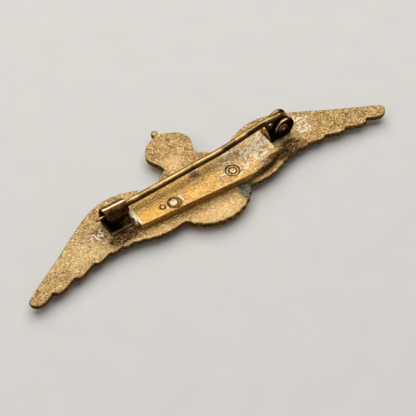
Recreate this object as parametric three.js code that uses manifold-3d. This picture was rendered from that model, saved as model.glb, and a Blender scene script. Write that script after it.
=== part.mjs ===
// Pilot wings pin: a one-piece metal wings badge lying on its face, with a back bar, a pin joint,
// a catch and a hinged pin stem soldered and riveted to its back.
// Millimetres. X runs along the wings, Y up to the crown, Z out of the badge's back.
// The origin is the centre of the wreath, on the flat of the front that the badge lies on.

import * as THREE from 'three';
import { mergeVertices } from 'three/addons/utils/BufferGeometryUtils.js';
import Module from 'manifold-3d';

const wasm = await Module();
wasm.setup();

// ---- driving dimensions ----

const BACK = 1.8; // height of the badge's back face
const RIM = 0.75; // thickness of the wings at their rim
const WREATH_R = 5.7;
const GAP = 0.05; // clearance where two pieces are soldered or riveted face to face

const BAR_TOP = BACK + 1.05;
const BAR_LEFT = -9.8;
const BAR_RIGHT = 10.1;
const BAR_HIGH_Y = 2.55; // its straight upper edge
const BAR_LOW_Y = -2.05; // its lower edge at X = 0
const BAR_SLOPE = -0.08; // the lower edge runs down to the right, so the bar widens towards the joint

const STEM_Y = 1.72; // the pin stem swings in the plane at this Y
const WIRE_R = 0.44;
const EYE_R = 1.1; // from the rivet's axis to the middle of the wire
const RIVET_R = 0.54;
const RIVET_X = 12.2;
const RIVET_Z = BACK + 1.9;
const STEM_TIP_X = -14.1;

const EAR_R = 1.38;
const EAR_T = 0.42;
const EAR_X = RIVET_X + 0.4; // centre of the ears' round tops
const EAR_Z = BACK + 1.65;
const EAR_NEAR_Y = 0.68; // outer face of the near ear
const EAR_FAR_Y = 2.76; // outer face of the far ear
const JOINT_BASE_T = 0.3;
const JOINT_LEFT = RIVET_X - 1.85; // a wall closes the joint here, and slopes down to its near corner
const JOINT_WALL_T = 0.3;
const JOINT_WALL_LOW_Z = BACK + 0.4;
const JOINT_WALL_HIGH_Z = BACK + 1.7;

const CATCH_LEFT = -13.1;
const CATCH_RIGHT = -10.0;
const CATCH_T = 0.36; // sheet thickness
const CATCH_R = 1.08; // outer radius of its curl
const CATCH_LIP_Z = BACK + 1.3; // where the curled lip ends
const CATCH_CURL_Z = BACK + 1.92; // centre of the curl

// ---- materials ----

const finish = (name, color, roughness) =>
  new THREE.MeshStandardMaterial({ name, color, roughness, metalness: 1 });

const GOLD = finish('aged_gold', 0xb08a4e, 0.42);
const BAR_GOLD = finish('bar_gold', 0xc08a3e, 0.4);
const BRONZE = finish('dark_bronze', 0x4c3820, 0.45);
const STEM_BRASS = finish('stem_brass', 0xa08545, 0.34);
const SOLDER = finish('solder', 0xd8cba4, 0.38);

// ---- joining and cutting ----

function solid(geometry) {
  geometry.deleteAttribute('normal');
  geometry.deleteAttribute('uv');
  const merged = mergeVertices(geometry, 1e-5);
  return new wasm.Manifold(
    new wasm.Mesh({
      numProp: 3,
      vertProperties: merged.attributes.position.array,
      triVerts: Uint32Array.from(merged.index.array),
    }),
  );
}

function geometryOf(manifold) {
  const mesh = manifold.getMesh();
  const geometry = new THREE.BufferGeometry();
  geometry.setAttribute('position', new THREE.BufferAttribute(mesh.vertProperties, 3));
  geometry.setIndex(new THREE.BufferAttribute(mesh.triVerts, 1));
  return geometry;
}

const union = (solids) => solids.reduce((all, next) => all.add(next));

function box(low, high) {
  const size = high.map((value, i) => value - low[i]);
  const geometry = new THREE.BoxGeometry(...size);
  geometry.translate(...low.map((value, i) => value + size[i] / 2));
  return solid(geometry);
}

// an outline in the XY plane, raised from one height to another
function slab(shape, zLow, zHigh, curveSegments = 6) {
  const geometry = new THREE.ExtrudeGeometry(shape, {
    depth: zHigh - zLow,
    bevelEnabled: false,
    curveSegments,
  });
  geometry.translate(0, 0, zLow);
  return solid(geometry);
}

// an outline drawn with X along the badge's Y and Y up, drawn out along the badge's X
function alongX(shape, xLow, xHigh, curveSegments = 12) {
  const geometry = new THREE.ExtrudeGeometry(shape, {
    depth: xHigh - xLow,
    bevelEnabled: false,
    curveSegments,
  });
  const turn = new THREE.Matrix4().makeBasis(
    new THREE.Vector3(0, 1, 0),
    new THREE.Vector3(0, 0, 1),
    new THREE.Vector3(1, 0, 0),
  );
  geometry.applyMatrix4(turn);
  geometry.translate(xLow, 0, 0);
  return solid(geometry);
}

const mirrorX = (manifold) => manifold.mirror([1, 0, 0]);

// ---- badge ----

const point = (x, y) => new THREE.Vector2(x, y);

// where each feather of the trailing edge meets the next, from the wreath out to the tip
const FEATHER_NOTCHES = [
  point(4.4, -3.0),
  point(5.15, -3.0),
  point(6.6, -3.1),
  point(8.0, -3.0),
  point(9.2, -2.7),
  point(10.2, -2.3),
  point(11.4, -1.97),
  point(12.85, -1.78),
  point(14.5, -1.7),
  point(16.9, -1.9),
  point(19.75, -2.35),
  point(22.85, -2.7),
];

// from the wreath over the shoulder of the wing and down to its tip
const LEADING_EDGE = [
  point(4.4, 3.55),
  point(5.2, 3.62),
  point(6.2, 3.85),
  point(7.5, 4.6),
  point(10.3, 5.3),
  point(13.5, 4.75),
  point(17.2, 2.8),
  point(20, 1.1),
  point(25.1, -1.75),
];

const WING_TIP = point(25.72, -2.45);

function wingOutline() {
  const shape = new THREE.Shape();
  shape.moveTo(FEATHER_NOTCHES[0].x, FEATHER_NOTCHES[0].y);
  for (let i = 1; i < FEATHER_NOTCHES.length; i += 1) {
    const from = FEATHER_NOTCHES[i - 1];
    const to = FEATHER_NOTCHES[i];
    const width = to.x - from.x;
    const sag = width * Math.min(0.26, 0.012 * from.x);
    shape.bezierCurveTo(
      from.x + 0.4 * width,
      from.y - 0.7 * sag,
      to.x - 0.15 * width,
      to.y - 1.35 * sag,
      to.x,
      to.y,
    );
  }
  shape.bezierCurveTo(23.6, -3.15, 24.6, -3.75, 25.35, -3.15);
  shape.quadraticCurveTo(25.75, -2.85, WING_TIP.x, WING_TIP.y);
  shape.splineThru([...LEADING_EDGE].reverse());
  return shape;
}

// the row of short feathers raised along the wing's shoulder
function covertOutline() {
  const shape = new THREE.Shape();
  shape.moveTo(4.6, 3.0);
  shape.splineThru([point(7.3, 4.1), point(10.3, 4.85), point(13.4, 4.3), point(17.0, 2.4)]);
  shape.lineTo(19.4, 0.9);
  shape.splineThru([point(16.0, 1.1), point(11.0, 0.7), point(7.5, -0.4), point(4.6, -1.6)]);
  shape.closePath();
  return shape;
}

// laurel leaves overlap round the wreath, so its lower edge steps in and out
function wreathOutline() {
  const leaves = 30;
  const stepsPerLeaf = 3;
  const points = [];
  for (let i = 0; i < leaves * stepsPerLeaf; i += 1) {
    const angle = (2 * Math.PI * i) / (leaves * stepsPerLeaf);
    const radius = WREATH_R - 0.07 * (i % stepsPerLeaf);
    points.push(point(radius * Math.sin(angle), -radius * Math.cos(angle)));
  }
  return new THREE.Shape(points);
}

const CROWN_SIDE = [
  point(2.35, 5.35),
  point(2.5, 6.1),
  point(2.9, 6.9),
  point(3.12, 7.7),
  point(2.95, 8.4),
  point(2.3, 9.3),
  point(1.5, 9.8),
  point(0.5, 10.25),
];

function crownOutline(inset = 0) {
  const shape = new THREE.Shape();
  const neckY = 4.6 + inset;
  const side = CROWN_SIDE.map((p) => point(p.x - inset, p.y - (p.y > 8 ? inset : 0)));
  const other = side.map((p) => point(-p.x, p.y)).reverse();
  shape.moveTo(side[0].x, neckY);
  shape.lineTo(side[0].x, side[0].y);
  shape.splineThru(side.slice(1));
  shape.lineTo(other[0].x, other[0].y);
  shape.splineThru(other.slice(1));
  shape.lineTo(-side[0].x, neckY);
  shape.closePath();
  return shape;
}

// the knob on top of the crown
function finialOutline() {
  const shape = new THREE.Shape();
  shape.moveTo(-0.36, 10.0);
  shape.lineTo(0.36, 10.0);
  shape.lineTo(0.36, 10.7);
  shape.absarc(0, 10.8, 0.45, 0, Math.PI);
  shape.lineTo(-0.36, 10.7);
  shape.closePath();
  return shape;
}

// a turned face: the emblem's flat disc, a groove round it and the rounded wreath
function wreathFace() {
  const profile = [
    point(0, 0),
    point(2.5, 0),
    point(2.7, 0.45),
    point(3.3, 0.45),
    point(3.6, 0.12),
    point(4.3, 0.0),
    point(5.0, 0.15),
    point(5.4, 0.55),
    point(5.5, BACK - RIM),
    point(5.5, BACK - RIM / 2),
    point(0, BACK - RIM / 2),
  ];
  const geometry = new THREE.LatheGeometry(profile, 40);
  geometry.rotateX(Math.PI / 2);
  return solid(geometry);
}

function badgeBody() {
  const rimFace = BACK - RIM;
  const wing = slab(wingOutline(), rimFace, BACK, 4).add(slab(covertOutline(), 0.65, BACK - RIM / 2, 5));
  return union([
    slab(wreathOutline(), rimFace, BACK),
    wing,
    mirrorX(wing),
    slab(crownOutline(), rimFace, BACK, 3),
    slab(crownOutline(0.45), 0.5, BACK - RIM / 2, 3),
    slab(finialOutline(), rimFace, BACK, 8),
    wreathFace(),
  ]);
}

// ---- back bar ----

// a flat strip, square at the catch end, whose lower edge curves up to the joint
function barOutline(grow = 0) {
  const lowAt = (x) => BAR_LOW_Y + BAR_SLOPE * x - grow;
  const high = BAR_HIGH_Y + grow;
  const left = BAR_LEFT - grow;
  const right = BAR_RIGHT + grow;
  const corner = 0.25;
  const bend = right - 3.8;
  const shape = new THREE.Shape();
  shape.moveTo(left, lowAt(left) + corner);
  shape.quadraticCurveTo(left, lowAt(left), left + corner, lowAt(left + corner));
  shape.lineTo(bend, lowAt(bend));
  shape.quadraticCurveTo(right - 0.9, lowAt(0) - 0.25, right, lowAt(0) + 0.75);
  shape.lineTo(right, high - corner);
  shape.quadraticCurveTo(right, high, right - corner, high);
  shape.lineTo(left + corner, high);
  shape.quadraticCurveTo(left, high, left, high - corner);
  shape.closePath();
  return shape;
}

// one round punch mark: a shallow ring groove in the bar's face
function punchRing(x, y, radius) {
  const width = 0.14;
  const depth = 0.12;
  const inner = radius - width / 2;
  const outer = radius + width / 2;
  const groove = new THREE.LatheGeometry(
    [point(inner, -depth), point(outer, -depth), point(outer, 0.3), point(inner, 0.3), point(inner, -depth)],
    24,
  );
  groove.rotateX(Math.PI / 2);
  groove.translate(x, y, BAR_TOP);
  return solid(groove);
}

const backBar = (grow = 0) => slab(barOutline(grow), BACK, BAR_TOP + grow, 6);

function stampedBar() {
  const marks = [punchRing(-4.8, -0.45, 0.62), punchRing(3.65, -0.7, 0.84), punchRing(3.6, -0.72, 0.4)];
  return marks.reduce((bar, mark) => bar.subtract(mark), backBar());
}

// ---- catch ----

// the sheet's cross-section: foot, wall and a curl over the stem whose lip hangs free
function catchOutline() {
  const farY = STEM_Y + CATCH_R;
  const inner = CATCH_R - CATCH_T;
  const shape = new THREE.Shape();
  shape.moveTo(-0.05, BACK);
  shape.lineTo(farY, BACK);
  shape.lineTo(farY, CATCH_CURL_Z);
  shape.absarc(STEM_Y, CATCH_CURL_Z, CATCH_R, 0, Math.PI, false);
  shape.lineTo(STEM_Y - CATCH_R, CATCH_LIP_Z);
  shape.lineTo(STEM_Y - inner, CATCH_LIP_Z);
  shape.lineTo(STEM_Y - inner, CATCH_CURL_Z);
  shape.absarc(STEM_Y, CATCH_CURL_Z, inner, Math.PI, 0, true);
  shape.lineTo(farY - CATCH_T, BACK + CATCH_T);
  shape.lineTo(-0.05, BACK + CATCH_T);
  shape.closePath();
  return shape;
}

const catchHook = () => alongX(catchOutline(), CATCH_LEFT, CATCH_RIGHT);

// ---- joint: bracket and rivet ----

// an ear seen from its side, drawn with X along the badge and Z up
function earOutline() {
  const shape = new THREE.Shape();
  shape.moveTo(JOINT_LEFT, BACK);
  shape.lineTo(EAR_X + 0.9, BACK);
  shape.absarc(EAR_X, EAR_Z, EAR_R, -0.6, Math.PI, false);
  shape.lineTo(JOINT_LEFT, JOINT_WALL_LOW_Z);
  shape.closePath();
  const hole = new THREE.Path();
  hole.absarc(RIVET_X, RIVET_Z, RIVET_R + GAP, 0, 2 * Math.PI, true);
  shape.holes.push(hole);
  return shape;
}

function ear(yLow) {
  const geometry = new THREE.ExtrudeGeometry(earOutline(), {
    depth: EAR_T,
    bevelEnabled: false,
    curveSegments: 12,
  });
  geometry.rotateX(Math.PI / 2);
  geometry.translate(0, yLow + EAR_T, 0);
  return solid(geometry);
}

function jointWall() {
  const shape = new THREE.Shape([
    point(EAR_NEAR_Y, BACK),
    point(EAR_FAR_Y, BACK),
    point(EAR_FAR_Y, JOINT_WALL_HIGH_Z),
    point(STEM_Y, JOINT_WALL_HIGH_Z),
    point(EAR_NEAR_Y, JOINT_WALL_LOW_Z),
  ]);
  return alongX(shape, JOINT_LEFT, JOINT_LEFT + JOINT_WALL_T);
}

function hingeBracket() {
  const base = box([JOINT_LEFT, EAR_NEAR_Y, BACK], [EAR_X + 0.9, EAR_FAR_Y, BACK + JOINT_BASE_T]);
  return union([base, jointWall(), ear(EAR_NEAR_Y), ear(EAR_FAR_Y - EAR_T)]);
}

// a shank with a flat domed head at each end, on the joint's axis
function hingeRivet() {
  const near = EAR_NEAR_Y - GAP;
  const far = EAR_FAR_Y + GAP;
  const headR = RIVET_R + 0.12;
  const headT = 0.16;
  const profile = [
    point(0, near - headT),
    point(headR * 0.7, near - headT),
    point(headR, near - headT / 2),
    point(headR, near),
    point(RIVET_R, near),
    point(RIVET_R, far),
    point(headR, far),
    point(headR, far + headT / 2),
    point(headR * 0.7, far + headT),
    point(0, far + headT),
  ];
  const geometry = new THREE.LatheGeometry(profile, 20);
  geometry.translate(RIVET_X, 0, RIVET_Z);
  return solid(geometry);
}

// ---- pin stem ----

// the wire's middle line, from its point to where it turns over the rivet
const STEM_LINE = new THREE.CatmullRomCurve3(
  [
    new THREE.Vector3(STEM_TIP_X, STEM_Y, BACK + 1.75),
    new THREE.Vector3(-9.5, STEM_Y, BACK + 2.1),
    new THREE.Vector3(-2, STEM_Y, BACK + 2.3),
    new THREE.Vector3(5, STEM_Y, BACK + 2.4),
    new THREE.Vector3(8, STEM_Y, BACK + 2.9),
    new THREE.Vector3(10, STEM_Y, BACK + 3.15),
    new THREE.Vector3(RIVET_X, STEM_Y, RIVET_Z + EYE_R),
  ],
  false,
  'centripetal',
);

const TAPER_LENGTH = 5.5;
const POINT_R = 0.04;

function pinStem() {
  const section = new THREE.Shape().absarc(0, 0, WIRE_R, 0, 2 * Math.PI);
  const wire = new THREE.ExtrudeGeometry(section, {
    steps: 40,
    curveSegments: 10,
    extrudePath: STEM_LINE,
  });
  const middle = new THREE.Vector3();
  const vertex = new THREE.Vector3();
  const place = wire.attributes.position;
  for (let i = 0; i < place.count; i += 1) {
    vertex.fromBufferAttribute(place, i);
    const along = (vertex.x - STEM_TIP_X) / TAPER_LENGTH;
    if (along < 1) {
      const share = Math.max(0, along * TAPER_LENGTH) / (RIVET_X - STEM_TIP_X);
      STEM_LINE.getPointAt(share, middle);
      const scale = THREE.MathUtils.lerp(POINT_R / WIRE_R, 1, Math.max(0, along) ** 0.9);
      vertex.y = middle.y + (vertex.y - middle.y) * scale;
      vertex.z = middle.z + (vertex.z - middle.z) * scale;
      place.setXYZ(i, vertex.x, vertex.y, vertex.z);
    }
  }
  const eye = new THREE.TorusGeometry(EYE_R, WIRE_R, 10, 28);
  eye.rotateX(Math.PI / 2);
  eye.translate(RIVET_X, STEM_Y, RIVET_Z);
  return solid(wire).add(solid(eye));
}

// ---- solder ----

// a flattened drop of solder that sits on the badge's back
function drop(x, y, halfLength, halfWidth, height) {
  const geometry = new THREE.SphereGeometry(1, 24, 12);
  geometry.rotateX(Math.PI / 2);
  geometry.scale(halfLength, halfWidth, height);
  geometry.translate(x, y, BACK);
  const above = box([x - 9, y - 9, BACK], [x + 9, y + 9, BACK + 9]);
  return solid(geometry).intersect(above);
}

function catchSolder() {
  const foot = box(
    [CATCH_LEFT - GAP, -0.05 - GAP, BACK - GAP],
    [CATCH_RIGHT + GAP, STEM_Y + CATCH_R + GAP, CATCH_LIP_Z + 2],
  );
  return drop(-9.7, 0.25, 0.75, 1.7, 1.5).subtract(backBar(GAP)).subtract(foot);
}

function hingeSolder() {
  const bracket = box(
    [JOINT_LEFT - GAP, EAR_NEAR_Y - GAP, BACK - GAP],
    [EAR_X + EAR_R + GAP, EAR_FAR_Y + GAP, RIVET_Z],
  );
  return drop(12.4, 1.5, 2.6, 2.3, 0.5).subtract(backBar(GAP)).subtract(bracket);
}

// ---- assembly ----

function piece(name, manifold, material) {
  const mesh = new THREE.Mesh(geometryOf(manifold), material);
  mesh.name = name;
  return mesh;
}

const badge = new THREE.Group();
badge.add(
  piece('badge_body', badgeBody(), GOLD),
  piece('back_bar', stampedBar(), BAR_GOLD),
  piece('catch', catchHook(), BRONZE),
  piece('catch_solder', catchSolder(), SOLDER),
  piece('hinge_bracket', hingeBracket(), BRONZE),
  piece('hinge_rivet', hingeRivet(), BRONZE),
  piece('hinge_solder', hingeSolder(), SOLDER),
);

const stem = new THREE.Group();
stem.add(piece('pin_stem', pinStem(), STEM_BRASS));

const pin = new THREE.Group();
pin.add(badge, stem);

export default pin;
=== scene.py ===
"""Looks of the pilot wings pin: an aged gilt brass badge lying face down, its pin stem closed in the catch.

Working units are millimetres, and meshes are scaled to metres when they are made. X runs along the wings,
Y up to the crown and Z out of the badge's back.
"""

import math

import bpy
import numpy as np
from mathutils import Matrix, Vector, kdtree
from mathutils.geometry import delaunay_2d_cdt


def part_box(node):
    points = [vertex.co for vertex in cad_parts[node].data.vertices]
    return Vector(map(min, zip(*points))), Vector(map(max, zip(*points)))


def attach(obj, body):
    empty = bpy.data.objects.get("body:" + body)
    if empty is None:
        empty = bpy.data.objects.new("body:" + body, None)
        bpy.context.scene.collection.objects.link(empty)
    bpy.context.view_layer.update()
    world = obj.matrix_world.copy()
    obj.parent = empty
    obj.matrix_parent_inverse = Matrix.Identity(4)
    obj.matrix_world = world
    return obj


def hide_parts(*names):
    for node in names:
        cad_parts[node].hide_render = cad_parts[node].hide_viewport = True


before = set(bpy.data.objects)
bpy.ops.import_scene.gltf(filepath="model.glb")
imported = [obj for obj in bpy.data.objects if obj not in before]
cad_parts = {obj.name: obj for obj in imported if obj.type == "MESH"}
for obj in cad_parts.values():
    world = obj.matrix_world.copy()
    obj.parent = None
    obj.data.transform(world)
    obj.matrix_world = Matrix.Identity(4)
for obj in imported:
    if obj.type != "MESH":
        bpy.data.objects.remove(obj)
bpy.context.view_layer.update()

MM = 0.001


def node_box(name):
    """A CAD node's lowest and highest corners, in millimetres."""
    low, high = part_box(name)
    return np.array(low) / MM, np.array(high) / MM


BADGE_LOW, BADGE_HIGH = node_box("badge_body")
BAR_LOW, BAR_HIGH = node_box("back_bar")
CATCH_LOW, CATCH_HIGH = node_box("catch")
BRACKET_LOW, BRACKET_HIGH = node_box("hinge_bracket")
RIVET_LOW, RIVET_HIGH = node_box("hinge_rivet")
STEM_LOW, STEM_HIGH = node_box("pin_stem")

BACK = BADGE_HIGH[2]
STEM_Y = (STEM_LOW[1] + STEM_HIGH[1]) / 2
WIRE_R = (STEM_HIGH[1] - STEM_LOW[1]) / 2
RIVET_X = (RIVET_LOW[0] + RIVET_HIGH[0]) / 2
RIVET_Z = (RIVET_LOW[2] + RIVET_HIGH[2]) / 2
EYE_R = STEM_HIGH[0] - RIVET_X - WIRE_R  # of the middle line of the eye's wire
WREATH_R = -BADGE_LOW[1]
RIM = 0.75  # thickness of the wings at their rim
AT_EDGE = 0.01  # points nearer than this to a plate's outline lie on it


# ---- camera, floor and light ----

CAMERA_PLACE = (-60.2, -90.9, 129.8)
CAMERA_AIM = (-1.6, -3.0, BACK)
CAMERA_ROLL = math.radians(-1.94)
CAMERA_LENS = 121.5
LIGHTS = (  # name, azimuth, elevation, distance, size, power, colour
    ("key_light", 152, 67, 320, 430, 1.38, (1.0, 0.97, 0.92)),
    ("left_light", -85, 40, 320, 150, 0.13, (1.0, 0.96, 0.9)),
    ("fill_light", 20, 40, 420, 300, 0.08, (0.95, 0.97, 1.0)),
)


def add_object(name, data):
    thing = bpy.data.objects.new(name, data)
    bpy.context.collection.objects.link(thing)
    return thing


def make_camera():
    data = bpy.data.cameras.new("camera")
    data.lens = CAMERA_LENS
    data.clip_start = 0.001
    data.clip_end = 10
    camera = add_object("camera", data)
    place = Vector(CAMERA_PLACE) * MM
    ahead = Vector(CAMERA_AIM) * MM - place
    turn = ahead.to_track_quat("-Z", "Y").to_matrix().to_4x4()
    camera.matrix_world = Matrix.Translation(place) @ turn @ Matrix.Rotation(CAMERA_ROLL, 4, "Z")
    bpy.context.scene.camera = camera


def make_light(name, azimuth, elevation, distance, size, power, color):
    """A soft square light that looks at the badge."""
    data = bpy.data.lights.new(name, "AREA")
    data.shape = "SQUARE"
    data.size = size * MM
    data.energy = power
    data.color = color
    light = add_object(name, data)
    a, e = math.radians(azimuth), math.radians(elevation)
    back = Vector((math.sin(a) * math.cos(e), -math.cos(a) * math.cos(e), math.sin(e)))
    light.location = back * distance * MM
    light.rotation_euler = (-back).to_track_quat("-Z", "Y").to_euler()


def make_studio():
    for light in LIGHTS:
        make_light(*light)
    world = bpy.data.worlds.new("studio")
    world.use_nodes = True
    background = world.node_tree.nodes["Background"]
    background.inputs["Color"].default_value = (0.86, 0.86, 0.86, 1)
    background.inputs["Strength"].default_value = 0.13
    scene = bpy.context.scene
    scene.world = world
    scene.view_settings.view_transform = "Standard"


def make_floor():
    """A round pale sheet of paper, well past the picture's edges."""
    sides = 96
    radius = 700 * MM
    turns = [2 * math.pi * i / sides for i in range(sides)]
    corners = [(radius * math.cos(a), radius * math.sin(a), 0) for a in turns]
    mesh = bpy.data.meshes.new("floor")
    mesh.from_pydata(corners, [], [list(range(sides))])
    floor = add_object("floor", mesh)
    tree = Nodes("floor_paper")
    tone = tree.ramp(tree.noise(0.25, detail=3), [(0.3, (0.68, 0.675, 0.67)), (0.7, (0.7, 0.695, 0.69))])
    tree.link(tone, tree.shader.inputs["Base Color"])
    tree.shader.inputs["Roughness"].default_value = 0.95
    tree.shader.inputs["Specular IOR Level"].default_value = 0.1
    tree.bump([(tree.noise(3.0, detail=5), 0.01)])
    mesh.materials.append(tree.material)


# ---- node materials ----


class Nodes:
    """A Principled material whose textures are placed in millimetres of the row frame."""

    def __init__(self, name):
        self.material = bpy.data.materials.new(name)
        self.material.use_nodes = True
        self.tree = self.material.node_tree
        self.shader = self.tree.nodes["Principled BSDF"]
        coords = self.tree.nodes.new("ShaderNodeTexCoord")
        scale = self.tree.nodes.new("ShaderNodeVectorMath")
        scale.operation = "SCALE"
        scale.inputs["Scale"].default_value = 1 / MM
        self.link(coords.outputs["Object"], scale.inputs[0])
        self.place = scale.outputs["Vector"]

    def link(self, source, target):
        self.tree.links.new(source, target)

    def noise(self, per_mm, detail, rough=0.5, stretch=None):
        place = self.place
        if stretch:
            wide = self.tree.nodes.new("ShaderNodeVectorMath")
            wide.operation = "MULTIPLY"
            wide.inputs[1].default_value = stretch
            self.link(place, wide.inputs[0])
            place = wide.outputs["Vector"]
        node = self.tree.nodes.new("ShaderNodeTexNoise")
        node.inputs["Scale"].default_value = per_mm
        node.inputs["Detail"].default_value = detail
        node.inputs["Roughness"].default_value = rough
        self.link(place, node.inputs["Vector"])
        return node.outputs["Fac"]

    def pits(self, per_mm):
        node = self.tree.nodes.new("ShaderNodeTexVoronoi")
        node.feature = "SMOOTH_F1"
        node.inputs["Scale"].default_value = per_mm
        self.link(self.place, node.inputs["Vector"])
        return node.outputs["Distance"]

    def mask(self, name):
        node = self.tree.nodes.new("ShaderNodeAttribute")
        node.attribute_name = name
        return node.outputs["Fac"]

    def math(self, operation, first, second, clamp=False):
        node = self.tree.nodes.new("ShaderNodeMath")
        node.operation = operation
        node.use_clamp = clamp
        for socket, value in zip(node.inputs, (first, second)):
            if isinstance(value, (int, float)):
                socket.default_value = value
            else:
                self.link(value, socket)
        return node.outputs["Value"]

    def ramp(self, value, stops):
        node = self.tree.nodes.new("ShaderNodeValToRGB")
        node.color_ramp.elements[0].position = stops[0][0]
        node.color_ramp.elements[1].position = stops[-1][0]
        for position, _ in stops[1:-1]:
            node.color_ramp.elements.new(position)
        for element, (_, color) in zip(node.color_ramp.elements, stops):
            color = (color,) * 3 if isinstance(color, (int, float)) else color
            element.color = (*color, 1)
        self.link(value, node.inputs["Fac"])
        return node.outputs["Color"]

    def mix(self, share, first, second):
        """From the first colour to the second as share goes from 0 to 1."""
        node = self.tree.nodes.new("ShaderNodeMix")
        node.data_type = "RGBA"
        for socket, value in zip((node.inputs[0], node.inputs[6], node.inputs[7]), (share, first, second)):
            if isinstance(value, tuple):
                socket.default_value = (*value, 1)
            else:
                self.link(value, socket)
        return node.outputs[2]

    def tint(self, color, share, strength, other):
        """Lays another colour over color, up to strength where share is 1."""
        return self.mix(self.math("MULTIPLY", share, strength), color, other)

    def bump(self, layers):
        """Height layers, each (texture, height in millimetres)."""
        normal = None
        for texture, height in layers:
            node = self.tree.nodes.new("ShaderNodeBump")
            node.inputs["Distance"].default_value = height * MM
            self.link(texture, node.inputs["Height"])
            if normal:
                self.link(normal, node.inputs["Normal"])
            normal = node.outputs["Normal"]
        self.link(normal, self.shader.inputs["Normal"])


SAND_DEPTH = 0.1  # of the cast grain's pits


def gold_material(name, light, dark, warm, rough=0.42):
    """Aged gilt brass with a sandy grain and painted glints, and masks for solder, for patina together with
    painted shade, for tints, for polish and for worn edges.
    """
    n = Nodes(name)
    middle = tuple((a + b) / 2 for a, b in zip(dark, light))
    mottle = n.noise(0.9, detail=5, rough=0.62)
    sand = n.noise(4.2, detail=4, rough=0.72)
    pits = n.pits(4.5)
    tone = n.math("ADD", n.math("MULTIPLY", mottle, 0.35), n.math("MULTIPLY", sand, 0.65))
    color = n.ramp(tone, [(0.42, dark), (0.49, middle), (0.56, light)])
    color = n.tint(color, n.mask("polish"), 0.7, light)
    color = n.tint(color, n.mask("warm"), 0.85, warm)
    color = n.tint(color, n.mask("pale"), 0.5, (0.95, 0.7, 0.38))
    color = n.tint(color, n.mask("rub_and_highlight"), 0.6, tuple(min(1, c * 1.35) for c in light))
    # Painted glints: bright specks laid into the grain's colour that stand in for the sparkle of light on it.
    painted_glint = n.ramp(n.noise(3.6, detail=4, rough=0.75), [(0.52, 0.0), (0.6, 1.0)])
    color = n.tint(color, painted_glint, 0.7, (1.0, 0.73, 0.38))
    speck = n.ramp(n.noise(2.7, detail=4, rough=0.75, stretch=(1, 1.1, 1.2)), [(0.57, 0.0), (0.65, 1.0)])
    color = n.tint(color, speck, 0.65, tuple(c * 0.5 for c in dark))
    color = n.tint(color, n.mask("violet"), 0.8, (0.09, 0.055, 0.065))
    slate = n.ramp(sand, [(0.42, (0.05, 0.055, 0.045)), (0.58, (0.19, 0.21, 0.175))])
    color = n.tint(color, n.mask("grey"), 0.9, slate)
    fine = n.math("SUBTRACT", n.noise(2.5, detail=5, rough=0.74, stretch=(1, 1.2, 0.9)), 0.5)
    # This mask darkens to brown: real patina, and painted shade on the badge's rim wall and the bar's side
    # walls.
    tarnish_and_shade = n.math("ADD", n.mask("tarnish_and_shade"), n.math("MULTIPLY", fine, -0.8))
    tarnish_and_shade = n.ramp(tarnish_and_shade, [(0.2, 0.0), (0.8, 1.0)])
    brown = n.ramp(sand, [(0.4, (0.02, 0.01, 0.004)), (0.5, (0.07, 0.037, 0.014)), (0.6, (0.28, 0.17, 0.06))])
    color = n.mix(tarnish_and_shade, color, brown)
    splash = n.math("ADD", n.mask("solder"), n.math("MULTIPLY", fine, 2.8))
    solder = n.ramp(splash, [(0.5, 0.0), (0.55, 1.0)])
    scorch = n.ramp(splash, [(0.3, 0.0), (0.46, 1.0)])
    color = n.tint(color, scorch, 0.8, (0.38, 0.18, 0.07))
    cream = n.ramp(sand, [(0.36, (0.8, 0.52, 0.22)), (0.44, (1.0, 0.86, 0.54)), (0.6, (1.0, 0.92, 0.69))])
    color = n.mix(solder, color, cream)
    n.link(color, n.shader.inputs["Base Color"])
    n.link(n.math("SUBTRACT", 1.0, n.math("MULTIPLY", solder, 0.85)), n.shader.inputs["Metallic"])
    shine = n.math("ADD", n.math("MULTIPLY", sand, 0.3), rough - 0.15)
    shine = n.math("ADD", shine, n.math("MULTIPLY", tarnish_and_shade, 0.12))
    shine = n.math("SUBTRACT", shine, n.math("MULTIPLY", n.mask("rub_and_highlight"), 0.12), clamp=True)
    n.link(shine, n.shader.inputs["Roughness"])
    n.shader.inputs["Specular Tint"].default_value = (0.9, 0.62, 0.32, 1)
    coarse = n.math("SUBTRACT", 1.0, n.math("MULTIPLY", n.mask("polish"), 0.8))
    beaten = n.math("MULTIPLY", sand, n.math("SUBTRACT", 1.0, n.math("MULTIPLY", solder, 0.7)))
    beaten = n.math("MULTIPLY", beaten, coarse)
    pits = n.math("MULTIPLY", pits, coarse)
    scratches = (n.noise(15.0, detail=2), SAND_DEPTH * 0.3)
    n.bump([(mottle, 0.08), (pits, SAND_DEPTH), (beaten, SAND_DEPTH), scratches, (solder, 0.05)])
    return n.material


def bronze_material(name, light, dark, rub_and_highlight_color):
    """Dark bronze whose very dark browns are partly patina and partly painted shade, with brass brought up
    where the mask marks worn edges and painted highlights.
    """
    n = Nodes(name)
    cloud = n.noise(1.6, detail=4, rough=0.6)
    sand = n.noise(9.0, detail=2, rough=0.6)
    color = n.ramp(cloud, [(0.35, dark), (0.55, light), (0.7, tuple(c * 1.6 for c in light))])
    speck = n.ramp(n.noise(3.0, detail=4, rough=0.7), [(0.53, 0.0), (0.63, 1.0)])
    color = n.tint(color, speck, 0.5, tuple(c * 2.6 for c in light))
    # The mask brings up brass on worn edges and on painted highlights.
    color = n.mix(n.mask("rub_and_highlight"), color, rub_and_highlight_color)
    n.link(color, n.shader.inputs["Base Color"])
    n.shader.inputs["Metallic"].default_value = 1.0
    n.shader.inputs["Specular Tint"].default_value = (0.3, 0.17, 0.07, 1)
    n.link(n.math("ADD", n.math("MULTIPLY", cloud, 0.3), 0.2), n.shader.inputs["Roughness"])
    n.bump([(cloud, 0.06), (sand, 0.02)])
    return n.material


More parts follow.
